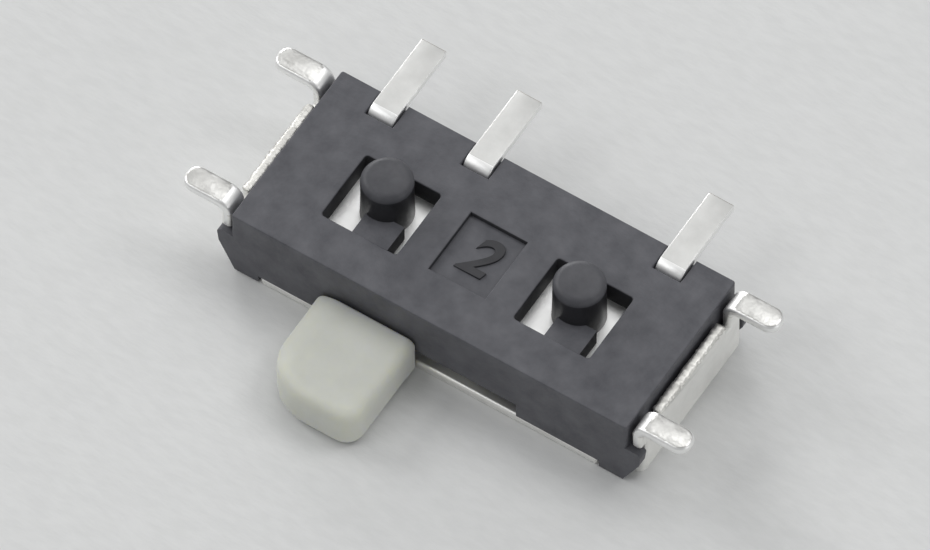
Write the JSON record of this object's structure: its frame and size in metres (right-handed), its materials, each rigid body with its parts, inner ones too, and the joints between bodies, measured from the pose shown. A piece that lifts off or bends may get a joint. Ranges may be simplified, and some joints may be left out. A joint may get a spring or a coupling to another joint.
{
  "type": "slide switch",
  "caption": "Miniature right-angle surface-mount slide switch: black moulded base with locating posts, folded tinned cover with solder lugs, flat terminals and a white sliding knob.",
  "frame": {"origin": "in the board face of the base, midway between the axes of the two locating posts", "axes": "+X along the switch and along the knob's travel, +Y from the knob towards the terminals, +Z out of the board face along the posts"},
  "size_m": [0.0078, 0.0052, 0.0018],
  "materials": {
    "black_plastic": "fine matte moulding, glass filled",
    "tinned_cover": "bright tin plating",
    "tinned_terminal": "bright tin plating on brass strip",
    "white_plastic": "natural, slightly translucent",
    "spring_brass": "rolled spring strip"
  },
  "bodies": {
    "housing": {"base": "black_plastic", "cover": "tinned_cover", "left_terminal": "tinned_terminal", "common_terminal": "tinned_terminal", "right_terminal": "tinned_terminal"},
    "slider": {"slider": "white_plastic", "contact_clip": "spring_brass"}
  },
  "joints": [
    {"name": "knob_slide", "type": "slide", "parent": "housing", "child": "slider", "axis": [1, 0, 0], "range_m": [0, 0.00185]}
  ]
}
